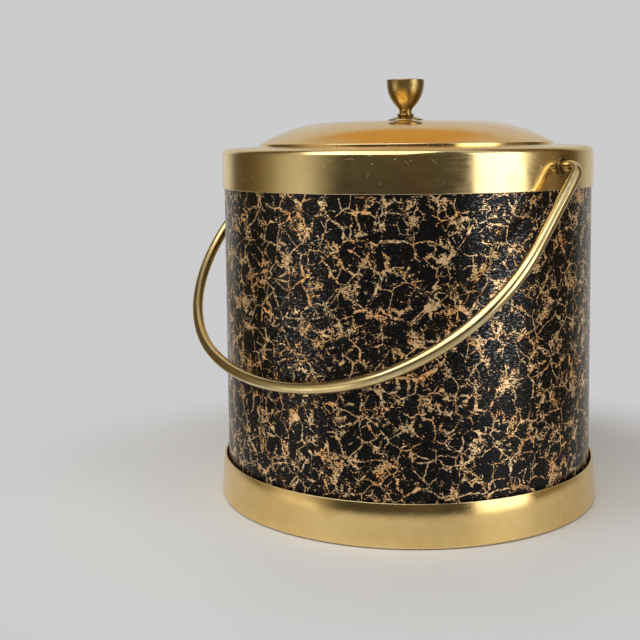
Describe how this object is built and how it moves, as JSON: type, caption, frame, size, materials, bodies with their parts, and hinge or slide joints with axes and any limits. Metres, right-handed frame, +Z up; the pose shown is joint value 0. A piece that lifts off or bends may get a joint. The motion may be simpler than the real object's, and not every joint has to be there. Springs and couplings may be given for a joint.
{
  "type": "ice bucket",
  "caption": "Round insulated ice bucket in gold-veined black vinyl with gold metal bands, a domed lift-off lid with an urn knob, and a swinging brass bail handle.",
  "frame": {"origin": "centre of the foot's underside, on the surface that the bucket stands on", "axes": "+Z up, the bail's pivot line runs along X, and the bail hangs towards -Y"},
  "size_m": [0.2094, 0.1933, 0.2093],
  "materials": {
    "fibreboard": "matte",
    "black_vinyl": "satin",
    "gold_band": "satin",
    "gold_base": "satin",
    "gold_lid": "satin",
    "felt": "matte",
    "liner_plastic": "gloss",
    "foam": "matte",
    "eyelet_brass": "polished",
    "bail_brass": "polished",
    "knob_brass": "satin",
    "zinc_steel": "satin"
  },
  "bodies": {
    "bucket": {"outer_shell": "fibreboard", "vinyl_wrap": "black_vinyl", "top_band": "gold_band", "base_band": "gold_base", "base_board": "fibreboard", "base_felt": "felt", "inner_liner": "liner_plastic", "foam_jacket": "foam", "foam_base": "foam", "eyelet_right": "eyelet_brass", "eyelet_left": "eyelet_brass", "eyelet_washer_right": "zinc_steel", "eyelet_washer_left": "zinc_steel"},
    "bail": {"bail": "bail_brass", "bail_washer_right": "zinc_steel", "bail_washer_left": "zinc_steel", "push_nut_right": "zinc_steel", "push_nut_left": "zinc_steel"},
    "lid": {"lid_shell": "gold_lid", "lid_pan": "liner_plastic", "lid_foam": "foam", "knob": "knob_brass", "knob_screw": "zinc_steel", "knob_screw_washer": "zinc_steel"}
  },
  "joints": [
    {"name": "bail_swing", "type": "hinge", "parent": "bucket", "child": "bail", "pos_m": [0, 0, 0.1665], "axis": [-1, 0, 0], "range_deg": [0, 271.9]},
    {"name": "lid_lift", "type": "slide", "parent": "bucket", "child": "lid", "axis": [0, 0, 1], "range_m": [0, 0.06]}
  ]
}
